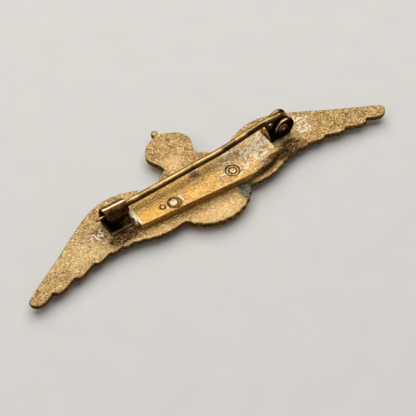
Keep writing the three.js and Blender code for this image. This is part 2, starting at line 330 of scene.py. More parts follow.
def stem_material():
    """Drawn wire: fine marks along its length, brown patches, painted shade on its underside and its eye, and
    a painted highlight on its cut end.
    """
    n = Nodes("stem_brass")
    drawn = n.noise(6.0, detail=3, rough=0.6, stretch=(0.1, 2.4, 2.4))
    patches = n.noise(0.55, detail=4, rough=0.65)
    color = n.ramp(drawn, [(0.38, (0.27, 0.16, 0.055)), (0.52, (0.5, 0.32, 0.12)), (0.64, (0.72, 0.5, 0.2))])
    brown = n.ramp(patches, [(0.5, 0.0), (0.62, 1.0)])
    color = n.tint(color, brown, 0.7, (0.13, 0.075, 0.035))
    # Painted shade: near-black where the mask marks the underside and the eye, brown where it marks real
    # patches.
    color = n.mix(n.mask("tarnish_and_shade"), color, (0.035, 0.014, 0.006))
    # Painted highlight: a pale spot where the mask marks the cut end.
    color = n.mix(n.mask("rub_and_highlight"), color, (0.95, 0.88, 0.66))
    n.link(color, n.shader.inputs["Base Color"])
    n.shader.inputs["Metallic"].default_value = 1.0
    n.shader.inputs["Specular Tint"].default_value = (0.6, 0.4, 0.2, 1)
    n.link(n.math("ADD", n.math("MULTIPLY", patches, 0.25), 0.14), n.shader.inputs["Roughness"])
    n.bump([(drawn, 0.02), (n.noise(8.0, detail=2), 0.012)])
    return n.material


# ---- shared numbers work ----


def ease(low, high, value):
    """Smoothly from 0 at low to 1 at high. Low may be the larger of the two."""
    share = np.clip((value - low) / (high - low), 0, 1)
    return share * share * (3 - 2 * share)


def grain(x, y, cell, seed):
    """Smooth random hills from -1 to 1, about one cell apart."""
    side = 64
    table = np.random.default_rng(seed).uniform(-1, 1, (side, side))
    u, v = x / cell, y / cell
    i, j = np.floor(u).astype(int), np.floor(v).astype(int)
    s, t = ease(0, 1, u - i), ease(0, 1, v - j)

    def corner(a, b):
        return table[(i + a) % side, (j + b) % side]

    low = corner(0, 0) * (1 - s) + corner(1, 0) * s
    high = corner(0, 1) * (1 - s) + corner(1, 1) * s
    return low * (1 - t) + high * t


def rough_grain(x, y, cell, seed):
    """Three layers of grain, each half as wide and half as high as the one before, still from -1 to 1."""
    return sum(grain(x, y, cell / 2**k, seed + k) / 2**k for k in range(3)) / 1.75


def bell(share):
    return np.exp(-(share**2))


def unit(vectors):
    return vectors / np.linalg.norm(vectors, axis=1)[:, None]


def spot(x, y, at, radius):
    """A soft round spot, or an oval one where radius is a pair."""
    rx, ry = radius if isinstance(radius, tuple) else (radius, radius)
    return np.exp(-(((x - at[0]) / rx) ** 2) - ((y - at[1]) / ry) ** 2)


def spots(x, y, *places):
    """The strongest of several soft spots, each (place, radius, strength)."""
    return np.max([strength * spot(x, y, at, radius) for at, radius, strength in places], axis=0)


def hermite(t, start, leave, end, arrive):
    """The cubic from start to end, as t goes from 0 to 1, that leaves and arrives at those speeds."""
    return (
        (2 * t**3 - 3 * t**2 + 1) * start
        + (t**3 - 2 * t**2 + t) * leave
        + (3 * t**2 - 2 * t**3) * end
        + (t**3 - t**2) * arrive
    )


# ---- shared mesh work ----


def make_piece(name, vertices, faces, material, body, node, masks, sharp=40):
    """A mesh from points in millimetres, riding on its body in place of its CAD node.
    Edges that turn by more than sharp degrees are shaded sharp."""
    mesh = bpy.data.meshes.new(name)
    mesh.from_pydata((vertices * MM).tolist(), [], faces)
    mesh.validate()
    mesh.shade_smooth()
    mesh.set_sharp_from_angle(angle=math.radians(sharp))
    for mask, values in masks.items():
        layer = mesh.attributes.new(mask, "FLOAT", "POINT")
        layer.data.foreach_set("value", np.clip(values, 0, 1).astype(np.float32))
    mesh.materials.append(material)
    piece = add_object(name, mesh)
    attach(piece, body)
    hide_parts(node)


def top_outline(node):
    """The outer edge of a CAD node's highest flat face, counter-clockwise, in millimetres."""
    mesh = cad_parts[node].data
    mesh.calc_loop_triangles()
    points = np.round(np.array([v.co for v in mesh.vertices]) / MM, 4)
    unique, ids = np.unique(points, axis=0, return_inverse=True)
    ids = ids.ravel()
    top = unique[:, 2].max()
    edges = set()
    for triangle in mesh.loop_triangles:
        a, b, c = (int(ids[v]) for v in triangle.vertices)
        if unique[[a, b, c], 2].min() > top - 0.001:
            edges.update([(a, b), (b, c), (c, a)])
    following = {a: b for a, b in edges if (b, a) not in edges}
    loops = []
    while following:
        at = next(iter(following))
        loop = []
        while at in following:
            loop.append(at)
            at = following.pop(at)
        loops.append(unique[loop, :2])

    def area(p):
        return abs(np.sum(p[:, 0] * np.roll(p[:, 1], -1) - p[:, 1] * np.roll(p[:, 0], -1)))

    return max(loops, key=area)


SHARP_TURN = 32  # degrees from which an outline's corner is kept


def smoothed(outline, spacing):
    """A curve through the outline's points that keeps its sharp corners, as evenly spaced points."""
    step = np.linalg.norm(np.roll(outline, -1, axis=0) - outline, axis=1)
    outline = outline[step > 0.02]
    after = np.roll(outline, -1, axis=0) - outline
    before = outline - np.roll(outline, 1, axis=0)
    cross = before[:, 0] * after[:, 1] - before[:, 1] * after[:, 0]
    turn = np.arctan2(cross, (before * after).sum(axis=1))
    sharp = np.abs(turn) > math.radians(SHARP_TURN)
    length = np.linalg.norm(after, axis=1)
    heading, straight = unit(before + after), unit(after)
    leave = np.where(sharp[:, None], straight, heading)
    arrive = np.where(sharp[:, None], np.roll(straight, 1, axis=0), heading)
    curve = []
    for i, (start, end) in enumerate(zip(outline, np.roll(outline, -1, axis=0))):
        count = max(1, round(length[i] / spacing))
        t = np.arange(count)[:, None] / count
        speed_in = arrive[(i + 1) % len(outline)] * length[i]
        curve.append(hermite(t, start, leave[i] * length[i], end, speed_in))
    return np.concatenate(curve)


def edge_distance(points, outline):
    """How far each point is from the outline's nearest point."""
    tree = kdtree.KDTree(len(outline))
    for i, (x, y) in enumerate(outline):
        tree.insert((x, y, 0), i)
    tree.balance()
    return np.array([tree.find((x, y, 0))[2] for x, y in points])


def grid_inside(outline, cell):
    """The points of a staggered grid that lie inside the outline."""
    a, b = outline, np.roll(outline, -1, axis=0)
    low, high = outline.min(axis=0), outline.max(axis=0)
    columns = np.arange(low[0], high[0], cell)
    rows = []
    for row, y in enumerate(np.arange(low[1], high[1], cell * math.sqrt(0.75))):
        cut = (a[:, 1] > y) != (b[:, 1] > y)
        crossings = a[cut, 0] + (y - a[cut, 1]) / (b[cut, 1] - a[cut, 1]) * (b[cut, 0] - a[cut, 0])
        x = columns + (row % 2) * cell / 2
        x = x[np.searchsorted(np.sort(crossings), x) % 2 == 1]
        rows.append(np.c_[x, np.full(len(x), y)])
    return np.concatenate(rows)


def net_inside(outline, cell, rings):
    """A fine triangle net that fills an outline, with a row of points at each ring's distance inside it.
    Returns its points, its triangles, each point's distance from the edge, and the edge's segments."""
    ahead = unit(np.roll(outline, -1, axis=0) - np.roll(outline, 1, axis=0))
    inward = np.c_[-ahead[:, 1], ahead[:, 0]]
    parts = [outline]
    for ring in rings:
        row = outline + inward * ring
        parts.append(row[edge_distance(row, outline) > ring * 0.92])  # not where a corner is too narrow
    grid = grid_inside(outline, cell)
    parts.append(grid[edge_distance(grid, outline) > rings[-1] + cell * 0.5])
    points = np.concatenate(parts)
    count = len(outline)
    loop = [(i, (i + 1) % count) for i in range(count)]
    verts, _, triangles, _, _, _ = delaunay_2d_cdt([Vector(p) for p in points.tolist()], loop, [], 1, 1e-6)
    points = np.array([(v.x, v.y) for v in verts])
    triangles = np.array(triangles)
    a, b, c = (points[triangles[:, k]] for k in range(3))
    area = (b[:, 0] - a[:, 0]) * (c[:, 1] - a[:, 1]) - (b[:, 1] - a[:, 1]) * (c[:, 0] - a[:, 0])
    triangles[area < 0] = triangles[area < 0][:, ::-1]
    pairs = np.concatenate([triangles[:, [0, 1]], triangles[:, [1, 2]], triangles[:, [2, 0]]])
    edges = {tuple(pair) for pair in pairs.tolist()}
    border = [(i, j) for i, j in edges if (j, i) not in edges]
    return points, triangles, edge_distance(points, outline), sorted(border)


def plate(points, top, foot, triangles, border):
    """Vertices and faces of a plate between two heights over a net: upper points first, then lower ones."""
    count = len(points)
    vertices = np.concatenate([np.c_[points, top], np.c_[points, foot + np.zeros(count)]])
    faces = triangles.tolist() + (triangles[:, ::-1] + count).tolist()
    return vertices, faces + [(j, i, i + count, j + count) for i, j in border]


def rolled(distance, radius):
    """How far a rounded edge falls below its face."""
    share = 1 - np.clip(distance / radius, 0, 1)
    return radius * (1 - np.sqrt(1 - share**2))


def skin(loops):
    """Points and faces of a closed skin over a row of loops, with its two ends closed."""
    loops = np.asarray(loops)
    rows, around, _ = loops.shape
    points = np.concatenate([loops.reshape(-1, 3), loops[0].mean(axis=0)[None], loops[-1].mean(axis=0)[None]])
    first, last = rows * around, rows * around + 1
    faces = []
    for i in range(rows - 1):
        for j in range(around):
            k = (j + 1) % around
            faces.append((i * around + j, i * around + k, (i + 1) * around + k, (i + 1) * around + j))
    for j in range(around):
        k = (j + 1) % around
        faces.append((first, k, j))
        faces.append((last, (rows - 1) * around + j, (rows - 1) * around + k))
    return points, faces


# ---- badge ----

LEADING_EDGE_START = 5.0  # the wings leave the wreath at this x
NOTCH_TURN = 12  # degrees by which the trailing edge turns inward between two feathers
CROWN_FOOT = 5.2  # the y where the crown's band starts


def resampled(line, step):
    """Points every step along an open line."""
    run = np.concatenate([[0], np.cumsum(np.linalg.norm(np.diff(line, axis=0), axis=1))])
    at = np.linspace(0, run[-1], int(run[-1] / step))
    return np.c_[np.interp(at, run, line[:, 0]), np.interp(at, run, line[:, 1])]


def wing_lines(outline):
    """The right wing's leading edge, from the wreath to the tip, and the notches between its feathers."""
    tip = int(np.argmax(outline[:, 0]))
    ring = np.roll(outline, -tip, axis=0)
    leading = ring[: np.argmax(ring[:, 0] < LEADING_EDGE_START)]
    trailing = ring[::-1]
    notches = []
    for before, at, after in zip(trailing, trailing[1:], trailing[2:]):
        if at[0] < LEADING_EDGE_START - 0.2:
            break
        u, v = at - before, after - at
        turn = math.degrees(math.atan2(u[0] * v[1] - u[1] * v[0], u @ v))
        if turn > NOTCH_TURN:
            notches.append(at)
    return leading[::-1], np.array(notches[::-1])


def badge_back(x, y, edge):
    """Height of the back face, with its solder lumps."""
    sag = 0.03 * rough_grain(x, y, 2.4, 11) + 0.012 * rough_grain(x, y, 0.5, 21)
    return BACK - 0.03 + (sag + 0.04 * solder_on_badge(x, y)) * ease(0, 0.5, edge) - rolled(edge, 0.16)


def solder_on_badge(x, y):
    """How densely solder is splashed over the badge beside the joint and the catch."""
    near = spots(
        x, y,
        ((15.3, 1.2), (2.0, 2.2), 0.92), ((13.2, -0.9), (1.5, 0.8), 0.5), ((10.4, 3.3), (1.6, 0.5), 0.35),
        ((-14.1, 1.0), (1.7, 1.6), 0.78), ((-12.0, -1.0), (1.6, 0.6), 0.35),
    )
    return 0.72 * near * (1 + 0.6 * rough_grain(x, y, 1.1, 33))


def badge_masks(x, y, edge):
    """Where the badge's back is soldered, tarnished, tinted and worn, and where its rim is painted dark as
    shade.
    """
    cloud = rough_grain(x, y, 0.9, 41)
    dark = spots(
        x, y,
        ((11.4, -1.5), (2.2, 1.1), 1.2), ((12.4, -0.6), (1.6, 0.9), 1.3), ((14.0, -1.3), (0.9, 0.5), 0.6),
        ((10.6, 3.4), (2.6, 0.5), 0.45), ((-11.9, -0.8), (2.4, 1.0), 1.3), ((-14.2, 1.2), (1.2, 1.5), 0.8),
        ((-11.5, 3.1), (1.8, 0.35), 0.6), ((-20.5, -1.1), (0.45, 0.35), 0.7),
        ((-2.3, 4.9), (0.5, 0.4), 0.6),
    )
    tarnish_and_shade = 0.9 * ease(0.15, 1.0, dark + 0.25 * cloud)
    warm = spots(
        x, y,
        ((-8.5, -2.4), (3.5, 0.9), 0.6), ((6.5, -2.6), (3.0, 0.7), 0.5), ((8.5, -3.1), (2.0, 0.5), 1.0),
        ((15.5, 0.5), (2.5, 2.5), 0.25), ((-0.5, -4.2), (3.2, 1.4), 0.7), ((-1.3, 5.0), (0.9, 1.2), 0.8),
    )
    pale = spots(
        x, y,
        ((-0.6, 5.6), (1.4, 1.0), 1.0), ((-0.5, -4.3), (3.6, 1.6), 0.8), ((-16.5, 0.0), (5.0, 2.5), 0.8),
        ((-9.5, 3.6), (3.5, 1.0), 0.5), ((-7.5, -3.0), (3.0, 1.0), 0.6),
    )
    return {
        "solder": solder_on_badge(x, y),
        # Painted shade: the points on the outline, and with them the rim wall, are dark.
        "tarnish_and_shade": np.where(edge < AT_EDGE, 0.85, tarnish_and_shade),
        "pale": pale * (1 + 0.3 * cloud),
        "grey": ease(0.25, 0.5, spot(x, y, (4.0, -3.7), (1.25, 1.9)) + 0.2 * cloud),
        "warm": np.clip(warm + 0.12 * cloud, 0, 1),
        "violet": 0.5 * ease(0.4, 0.9, spot(x, y, (13.6, -1.6), (1.6, 0.7)) + 0.3 * cloud),
        "rub_and_highlight": 1 - ease(0.0, 0.22, edge),
    }


def feather_relief(x, y, leading, notches):
    """Height of the feathers on the right wing's front: long flight feathers under rows of short coverts."""
    tips = np.concatenate([notches, [leading[-1]]])
    share = np.linspace(0, 1, len(tips))
    root_x = np.interp(share, [0, 0.55, 1], [5.2, 9.5, 17.5])
    roots = np.c_[root_x, np.interp(share, [0, 0.55, 1], [2.2, 3.0, 2.1])]
    family = np.linspace(0, len(tips) - 1, 60 * (len(tips) - 1))  # 60 lines to a feather
    knots = np.arange(len(tips))
    tip = np.c_[np.interp(family, knots, tips[:, 0]), np.interp(family, knots, tips[:, 1])]
    root = np.c_[np.interp(family, knots, roots[:, 0]), np.interp(family, knots, roots[:, 1])]
    along = tip - root
    length = np.linalg.norm(along, axis=1)
    index = np.empty(len(x))
    batch = 4000  # points at a time, to keep the tables small
    for low in range(0, len(x), batch):
        part = slice(low, low + batch)
        dx = x[part, None] - root[None, :, 0]
        dy = y[part, None] - root[None, :, 1]
        aside = np.abs(along[:, 0] * dy - along[:, 1] * dx) / length
        t = (dx * along[:, 0] + dy * along[:, 1]) / length**2
        aside = aside + 8 * np.maximum(-t, 0) + 2 * np.maximum(t - 1.25, 0)
        index[part] = family[np.argmin(aside, axis=1)]
    across = index - np.floor(index)
    vane = np.sin(np.pi * np.clip(across, 0.02, 0.98)) ** 0.55
    quill = bell((across - 0.5) / 0.06)
    barbs = np.sin(2 * np.pi * (1.9 * x - 1.1 * y + 3.0 * np.abs(across - 0.5)) * 1.3)
    flight = 0.1 + 0.22 * vane + 0.05 * quill + 0.012 * barbs * (1 - quill)
    every = 3  # only each third point of the leading edge is measured from
    gap = np.linalg.norm(np.c_[x, y][:, None, :] - leading[None, ::every, :], axis=2)
    back = gap.min(axis=1)
    run = gap.argmin(axis=1) * every * np.linalg.norm(leading[1] - leading[0])
    reach = np.interp(x, [5, 9, 14, 18, 23], [2.6, 3.0, 2.4, 1.5, 0.5])
    row_depth = reach / 3
    row = np.floor(back / row_depth)
    down = back / row_depth - row
    column = run / (0.95 + 0.18 * row) + 0.5 * (row % 2)
    side = column - np.floor(column) - 0.5
    scale = np.sqrt(np.clip(1 - (1.7 * side) ** 2, 0, 1)) * np.clip(1.25 - 0.55 * down, 0, 1)
    covert = 0.42 - 0.07 * row + 0.14 * scale + 0.03 * bell(side / 0.06)
    covered = ease(0, 0.12, reach - back + 0.25 * np.abs(np.cos(np.pi * column)))
    return flight * (1 - covered) + covert * covered


def crown_relief(x, y):
    """Height of the crown: a band with stones, arches with pearls and a round cap behind them."""
    up = (y - CROWN_FOOT) / (BADGE_HIGH[1] - 1.0 - CROWN_FOOT)
    height = 0.35 + 0.3 * np.sqrt(np.clip(1 - (x / 3.3) ** 2, 0, 1))
    above_band = ease(6.5, 6.7, y) * (1 - ease(9.9, 10.3, y))
    pearl = np.abs(y * 1.9 - np.round(y * 1.9)) / 1.9  # 1.9 pearls to a millimetre
    for reach in (-2.45, -1.3, 0.0, 1.3, 2.45):
        bow = reach * np.sqrt(np.clip(1 - np.clip(1.12 * up - 0.12, 0, 1) ** 2.4, 0, 1))
        aside = np.abs(x - bow)
        height += 0.16 * np.exp(-((aside / 0.2) ** 4)) * above_band
        height += 0.12 * np.sqrt(np.clip(1 - (aside / 0.2) ** 2 - (pearl / 0.22) ** 2, 0, 1)) * above_band
    band = ease(5.25, 5.4, y) * (1 - ease(6.45, 6.6, y))
    stone = np.abs(x * 0.95 - np.round(x * 0.95)) / 0.95
    gems = 0.16 * np.sqrt(np.clip(1 - (stone / 0.33) ** 2 - ((y - 5.9) / 0.27) ** 2, 0, 1))
    height += band * (0.12 + gems)
    ball = np.clip(1 - (x / 0.5) ** 2 - ((y - 10.75) / 0.5) ** 2, 0, 1)
    return np.maximum(height * (1 - ease(10.0, 10.3, y)), 0.5 * np.sqrt(ball))


def wreath_relief(x, y):
    """Height of the laurel wreath and of the star on the disc inside it."""
    radius = np.hypot(x, y)
    angle = np.arctan2(x, -y)
    height = np.zeros_like(x)
    leaves = 15  # in each row, from the foot to the crown
    for middle, width, shift in ((3.75, 0.62, 0.0), (4.45, 0.7, 0.5), (5.1, 0.6, 0.0)):
        turn = np.abs(angle) / np.pi * leaves + shift + 0.55 * (radius - middle)
        along = turn - np.floor(turn) - 0.5
        aside = (radius - middle) / width
        blade = np.clip(1 - (1.75 * along) ** 2 - aside**2, 0, 1) ** 0.5
        vein = bell(aside / 0.13) * (blade > 0.2)
        height = np.maximum(height, (0.3 * blade + 0.05 * vein - 0.08 * along) * (blade > 0))
    ring = np.sqrt(np.clip(1 - ((radius - 4.45) / 1.35) ** 2, 0, 1))
    wreath = 0.68 * ring**0.8 + height * ease(3.1, 3.4, radius)
    point = np.abs((angle / (2 * np.pi) * 8) % 1 - 0.5) * 2
    long_ray = np.abs((angle / (2 * np.pi) * 4 + 0.5) % 1 - 0.5) * 2
    reach = 1.15 + 1.1 * np.clip(1 - long_ray * 2.2, 0, 1) + 0.35 * np.clip(1 - point * 2, 0, 1)
    star = np.clip(1 - radius / reach, 0, 1)
    disc = 0.62 * (1 - ease(2.75, 2.95, radius)) + 0.42 * star
    rim = 0.16 * bell((radius - 2.72) / 0.13)
    return np.maximum(wreath, disc + rim)


def badge_front(x, y, edge, leading, notches):
    """Height of the front face, which looks down: the relief stands below the rim."""
    relief = np.full_like(x, 0.12)
    wing = np.abs(x) > 4.6
    relief[wing] = feather_relief(np.abs(x[wing]), y[wing], leading, notches)
    crown = (np.abs(x) < 3.4) & (y > CROWN_FOOT)
    relief[crown] = crown_relief(x[crown], y[crown])
    wreath = np.hypot(x, y) < WREATH_R + 0.2
    kept = relief[wreath] * (np.abs(x[wreath]) > 5.3)
    relief[wreath] = np.maximum(wreath_relief(x[wreath], y[wreath]), kept)
    relief = np.minimum(relief * ease(-0.15, 0.45, edge), BACK - RIM)
    return BACK - RIM - relief + rolled(edge, 0.14), relief


def make_badge(material):
    rough_outline = top_outline("badge_body")
    leading, notches = wing_lines(rough_outline)
    leading = resampled(leading, step=0.08)
    outline = smoothed(rough_outline, spacing=0.09)
    points, triangles, edge, border = net_inside(outline, cell=0.11, rings=(0.05, 0.12))
    x, y = points.T
    back = badge_back(x, y, edge)
    front, relief = badge_front(x, y, edge, leading, notches)
    vertices, faces = plate(points, back, front, triangles, border)
    plain = np.zeros_like(x)
    front_masks = {
        # Patina in the front's hollows, and painted shade along its rim, which darkens the rim wall.
        "tarnish_and_shade": np.maximum(0.9 * ease(0.36, 0.1, relief), 0.85 * ease(0.2, 0.0, edge)),
        "rub_and_highlight": ease(0.35, 0.9, relief),
        "polish": plain + 1,
    }
    masks = {**badge_masks(x, y, edge), "polish": plain}
    masks = {name: np.concatenate([values, front_masks.get(name, plain)]) for name, values in masks.items()}
    make_piece("badge_relief", vertices, faces, material, "badge", "badge_body", masks)


# ---- back bar ----

# round punch marks, each (centre, radius)
LEFT_MARKS = (((-4.8, -0.7), 0.8), ((-6.3, -0.46), 0.34))
LEFT_BOSS = ((-4.87, -0.66), 0.6)
RIGHT_MARK = ((3.65, -0.7), 0.86)
RIGHT_BOSS = (RIGHT_MARK[0], 0.48)
PUNCHED = (LEFT_MARKS, [LEFT_BOSS], [RIGHT_MARK], [RIGHT_BOSS])
BAR_SUNK = 0.08  # how deep the bar's foot lies inside the badge


def mark_edge(x, y, rings):
    """Distance from the nearest ring, negative inside it."""
    return np.min([np.hypot(x - at[0], y - at[1]) - radius for at, radius in rings], axis=0)


def marks_height(x, y):
    """Punched grooves with raised lips, and three bosses: one in each large ring, and the small one."""
    height = np.zeros_like(x)
    for rings in PUNCHED:
        edge = mark_edge(x, y, rings)
        height -= 0.1 * bell(edge / 0.075)
        height += 0.04 * bell((edge - 0.17) / 0.08)
    for at, radius in (LEFT_BOSS, RIGHT_BOSS, LEFT_MARKS[1]):
        away = np.hypot(x - at[0], y - at[1])
        height += 0.07 * np.sqrt(np.clip(1 - (away / (radius - 0.08)) ** 2, 0, 1))
    return height


def solder_on_bar(x, y):
    """How densely solder is splashed: towards the joint, round the marks, and a bead over the catch end."""
    cloud = rough_grain(x, y, 0.9, 53)
    dense = np.interp(x, [0.0, 1.5, 3.5, 7, 9.8], [0.0, 0.28, 0.42, 0.5, 0.62]) * ease(-2.6, -1.6, y)
    bead = ease(-9.35, -9.5, x + 0.1 * cloud) * ease(-1.1, -0.9, y) * ease(1.6, 1.4, y)
    near = spots(
        x, y,
        ((-3.75, -0.3), (0.35, 0.45), 0.8), ((-3.7, -0.95), 0.3, 0.7), ((2.0, -0.45), (0.8, 0.9), 0.52),
        (*LEFT_MARKS[1], 0.6),
    )
    ring = 0.6 * bell((mark_edge(x, y, [RIGHT_MARK]) - 0.2) / 0.25)
    boss = 0.68 * ease(0.0, -0.15, mark_edge(x, y, [LEFT_BOSS]))
    return np.maximum.reduce([dense * (1 + 0.6 * cloud), bead, near, ring, boss])


def bar_masks(x, y, edge):
    """Where the bar's top is soldered, tarnished, tinted and worn."""
    cloud = rough_grain(x, y, 1.1, 61)
    grooves = [np.abs(mark_edge(x, y, rings)) for rings in PUNCHED]
    groove = bell(np.min(grooves, axis=0) / 0.09)
    warm = spots(
        x, y,
        ((-8.3, -0.6), (2.0, 1.1), 1.0), ((-2.5, -0.9), (2.5, 0.9), 0.45), ((4.2, -0.5), (0.5, 0.5), 1.0),
        ((6.2, -1.1), (1.3, 0.8), 1.0), ((8.6, -0.6), (0.9, 0.8), 0.6),
    )
    blue = spots(
        x, y,
        ((-0.5, 1.5), (0.9, 0.8), 1.0), ((5.5, 1.0), (0.7, 0.8), 0.7), ((9.0, -2.0), (2.6, 0.7), 1.4),
    )
    corner = spots(x, y, ((9.7, -1.8), (1.9, 0.6), 1.2), ((7.0, -2.5), (2.2, 0.35), 1.0))
    return {
        "solder": solder_on_bar(x, y) * (1 - np.maximum(groove, 0.9 * np.clip(corner, 0, 1))),
        "tarnish_and_shade": np.maximum(0.9 * groove, 0.85 * ease(0.4, 0.95, corner + 0.3 * cloud)),
        "warm": np.clip(warm + 0.25 * cloud, 0, 1),
        "violet": ease(0.35, 0.9, blue + 0.25 * cloud),
        "rub_and_highlight": (1 - ease(0.0, 0.15, edge)) * ease(8.5, 6.0, x),
    }


def make_bar(material):
    outline = smoothed(top_outline("back_bar"), spacing=0.08)
    points, triangles, edge, border = net_inside(outline, cell=0.075, rings=(0.04, 0.1))
    x, y = points.T
    top = BAR_HIGH[2] - rolled(edge, 0.09) + 0.02 * rough_grain(x, y, 1.6, 71) + marks_height(x, y)
    top += 0.04 * solder_on_bar(x, y) * ease(0.0, 0.3, edge)
    vertices, faces = plate(points, top, BACK - BAR_SUNK, triangles, border)
    masks = bar_masks(x, y, edge)
    # Painted shade: the side walls get a dark orange-brown that turns dark violet towards the joint.
    darker_toward_joint = ease(4.5, 7.5, x)  # the side walls darken towards the joint
    side = {"warm": 1 - darker_toward_joint, "tarnish_and_shade": 0.55 + 0.3 * darker_toward_joint, "violet": 0.7 * darker_toward_joint}
    for name, values in masks.items():
        wall = side.get(name, 0) + np.zeros_like(x)
        masks[name] = np.concatenate([np.where(edge < AT_EDGE, wall, values), wall])
    make_piece("back_strip", vertices, faces, material, "badge", "back_bar", masks)


# ---- bent sheet pieces ----

SHEET_CORNER = 0.11  # radius of the rounded edges of bent strips


def arc(centre, radius, start, end, count):
    """Points (y, z) round an arc, with angles in degrees from +Y towards +Z."""
    angles = np.radians(np.linspace(start, end, count))
    return [(centre[0] + radius * math.cos(a), centre[1] + radius * math.sin(a)) for a in angles]


def rounded_section(low, high, half):
    """A rounded rectangle as (x, n) points: x from low to high, and n from -half to half."""
    corner = SHEET_CORNER
    quarter = np.radians(np.linspace(0, 90, 4))
    left, right = low + corner, high - corner
    straight = np.linspace(right, left, 11)[1:-1]
    upper = [(right + corner * math.cos(a), half - corner + corner * math.sin(a)) for a in quarter]
    upper += [(x, half) for x in straight]
    upper += [(left - corner * math.sin(a), half - corner + corner * math.cos(a)) for a in quarter]
    return upper + [(x, -n) for x, n in reversed(upper)]


def bent_sheet(spine, thickness, span):
    """Loops of a strip bent along a spine of (y, z) points. span(z, share) gives its low and high x there."""
    spine = np.array(spine)
    run = np.r_[0, np.cumsum(np.linalg.norm(np.diff(spine, axis=0), axis=1))]
    share = run / run[-1]
    ahead = unit(np.gradient(spine, run, axis=0))
    normal = np.c_[-ahead[:, 1], ahead[:, 0]]
    last = len(spine) - 1
    closing = 0.6 * SHEET_CORNER
    rows = [(0, closing), *[(i, 0.0) for i in range(last + 1)], (last, closing)]
    loops = []
    for at, inset in rows:
        low, high = span(spine[at, 1], share[at])
        section = rounded_section(low + inset, high - inset, thickness / 2 - inset)
        (y, z), (across, up) = spine[at], normal[at]
        loops.append([(x, y + across * n, z + up * n) for x, n in section])
    return np.array(loops)


CATCH_T = 0.3  # thickness; thin enough for the wire to pass under the tilted crest
CATCH_TILT = 0.06  # the crest drops by this much per millimetre towards the joint
LIP_DROP = 1.1  # how far the curl's rounded lip hangs below its middle


def make_catch(material):
    """A strip bent into a foot on the badge, a wall behind the stem and a curl over it."""
    centre = (STEM_Y, CATCH_HIGH[2] - (CATCH_HIGH[1] - STEM_Y))
    radius = CATCH_HIGH[1] - STEM_Y - CATCH_T / 2
    floor = BACK + CATCH_T / 2
    bend = 0.35
    wall = STEM_Y + radius
    spine = [(y, floor) for y in np.linspace(CATCH_LOW[1] + 0.05, wall - bend, 8)]
    spine += arc((wall - bend, floor + bend), bend, -90, 0, 6)[1:]
    spine += [(wall, z) for z in np.linspace(floor + bend, centre[1], 6)[1:-1]]
    spine += arc(centre, radius, 0, 180, 48)
    spine += [(STEM_Y - radius + 0.12 * t * t, centre[1] - LIP_DROP * t) for t in np.linspace(0.12, 1, 12)]

    def span(z, share):
        lip = np.clip((share - 0.74) / 0.26, 0, 1)
        return CATCH_LOW[0] + 1.45 * lip**3, CATCH_HIGH[0] - 0.85 * lip**2

    points, faces = skin(bent_sheet(spine, CATCH_T, span))
    x, y, z = points.T
    # Painted highlights on the catch: a bright line along the curl's crest, a painted light band on the curl
    # just behind the crest, and a thin bright line along the foot's front edge.
    outer = np.hypot(y - centre[0], z - centre[1]) > radius
    crest = np.exp(-(((y - STEM_Y - 0.12) / 0.14) ** 4)) * outer * (z > centre[1])
    behind = 0.22 * ease(STEM_Y + 0.15, STEM_Y + 0.35, y) * outer * (z > centre[1])
    front_edge = 0.4 * ease(CATCH_LOW[1] + 0.12, CATCH_LOW[1], y)
    masks = {"rub_and_highlight": np.maximum.reduce([crest, behind, front_edge])}
    points[:, 2] -= CATCH_TILT * (x - CATCH_LOW[0]) * ease(BACK + 0.5, CATCH_HIGH[2], z)
    make_piece("catch_curl", points, faces, material, "badge", "catch", masks, 50)


EAR_T = 0.42  # thickness of the ears and their base
EAR_R = 1.38  # of an ear's round top
JOINT_WALL_T = 0.3
JOINT_WALL_LOW = 0.4  # the wall's height over the badge at the near ear
JOINT_WALL_HIGH = 1.7  # the wall's height from the stem's line to the far ear


def ear_span(z):
    """An ear's lowest and highest x at a height: a round top over a foot that flares towards the bar."""
    middle = BRACKET_HIGH[0] - EAR_R
    centre_z = BRACKET_HIGH[2] - EAR_R
    up = (z - centre_z) / EAR_R
    half = EAR_R * math.sqrt(max(0.0, 1 - up * up))
    if up >= 0:
        return middle - half, middle + half
    flare = min(1.0, (centre_z - z) / (centre_z - BACK - JOINT_WALL_LOW))
    return middle - EAR_R - (middle - EAR_R - BRACKET_LOW[0]) * flare, middle + max(half, 0.9)


